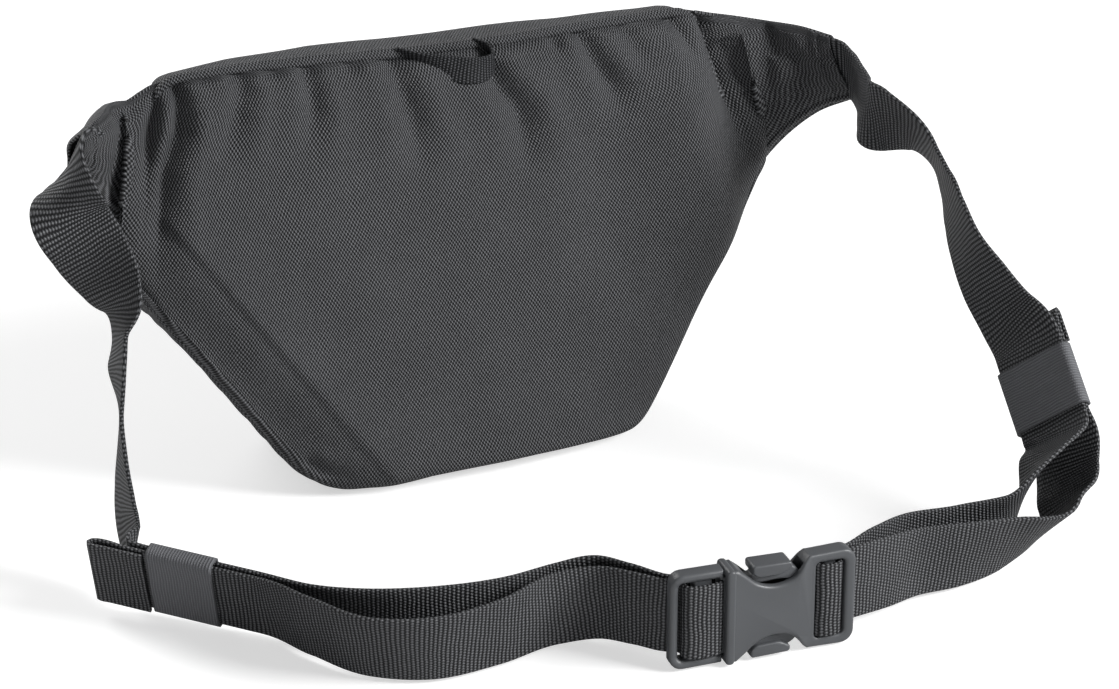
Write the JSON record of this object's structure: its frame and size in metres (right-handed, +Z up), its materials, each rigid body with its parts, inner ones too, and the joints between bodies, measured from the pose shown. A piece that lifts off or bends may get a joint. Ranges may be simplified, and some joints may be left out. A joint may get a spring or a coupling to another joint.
{
  "type": "waist pack",
  "caption": "Padded waist pack with a zipped top mouth, soft side wings, a hang loop and a webbing belt closed by a side release buckle.",
  "frame": {"origin": "middle of the bottom gusset's flat underside, on the surface the pack stands on", "axes": "+X along the zip, towards its closed end, +Y from the padded panel to the bag's front, +Z up"},
  "size_m": [0.3259, 0.2508, 0.1454],
  "materials": {
    "fabric": "matt woven polyester",
    "lining": "smooth lining cloth",
    "foam": "closed-cell padding",
    "webbing": "ribbed woven webbing",
    "elastic": "smooth elastic band",
    "buckle_plastic": "satin moulded plastic",
    "zip_coil": "moulded coil",
    "zip_metal": "dark plated metal"
  },
  "bodies": {
    "bag": {"back_panel": "fabric", "back_foam": "foam", "back_lining": "lining", "bottom_gusset": "fabric", "right_gusset": "fabric", "left_gusset": "fabric", "front_panel": "fabric", "rear_top_strip": "fabric", "left_end_panel": "fabric", "right_end_panel": "fabric", "zip_tape_rear": "fabric", "zip_coil_rear": "zip_coil", "left_zip_stop": "zip_metal", "right_zip_stop": "zip_metal", "right_wing": "fabric", "left_wing": "fabric", "left_webbing": "webbing", "right_webbing": "webbing", "hang_loop": "webbing", "buckle_female": "buckle_plastic"},
    "mouth_lip": {"mouth_lip": "fabric", "zip_tape_front": "fabric", "zip_coil_front": "zip_coil"},
    "zip_slider": {"zip_slider": "zip_metal"},
    "zip_pull": {"zip_pull": "zip_metal"},
    "left_keeper": {"left_keeper": "elastic"},
    "right_keeper": {"right_keeper": "elastic"},
    "buckle_male": {"buckle_male": "buckle_plastic"},
    "upper_prong": {"upper_prong": "buckle_plastic"},
    "lower_prong": {"lower_prong": "buckle_plastic"}
  },
  "joints": [
    {"name": "mouth_lip_hinge", "type": "hinge", "parent": "bag", "child": "mouth_lip", "pos_m": [0, 0.05339, 0.09936], "axis": [-1, 0, 0], "range_deg": [0, 75]},
    {"name": "zip_slide", "type": "slide", "parent": "bag", "child": "zip_slider", "axis": [-1, 0, 0], "range_m": [0, 0.152]},
    {"name": "zip_pull_hinge", "type": "hinge", "parent": "zip_slider", "child": "zip_pull", "pos_m": [0.0777, 0.04161, 0.12304], "axis": [0, -0.6959, 0.7181], "range_deg": [0, 170]},
    {"name": "left_keeper_slide", "type": "slide", "parent": "bag", "child": "left_keeper", "axis": [0.7053, -0.7063, -0.06], "range_m": [0, 0.012]},
    {"name": "right_keeper_slide", "type": "slide", "parent": "bag", "child": "right_keeper", "axis": [-0.0999, -0.7789, -0.6191], "range_m": [-0.005, 0.001]},
    {"name": "buckle_release", "type": "slide", "parent": "bag", "child": "buckle_male", "axis": [-0.9945, 0.1045, 0], "range_m": [0, 0.032], "deforming": ["left_webbing", "upper_prong", "lower_prong"]},
    {"name": "upper_prong_press", "type": "hinge", "parent": "buckle_male", "child": "upper_prong", "pos_m": [0.01456, -0.18282, 0.0265], "axis": [0.1045, 0.9945, 0], "range_deg": [0, 8], "stiffness_Nm_per_rad": 0.5},
    {"name": "lower_prong_press", "type": "hinge", "parent": "buckle_male", "child": "lower_prong", "pos_m": [0.01456, -0.18282, 0.0065], "axis": [-0.1045, -0.9945, 0], "range_deg": [0, 8], "stiffness_Nm_per_rad": 0.5}
  ]
}
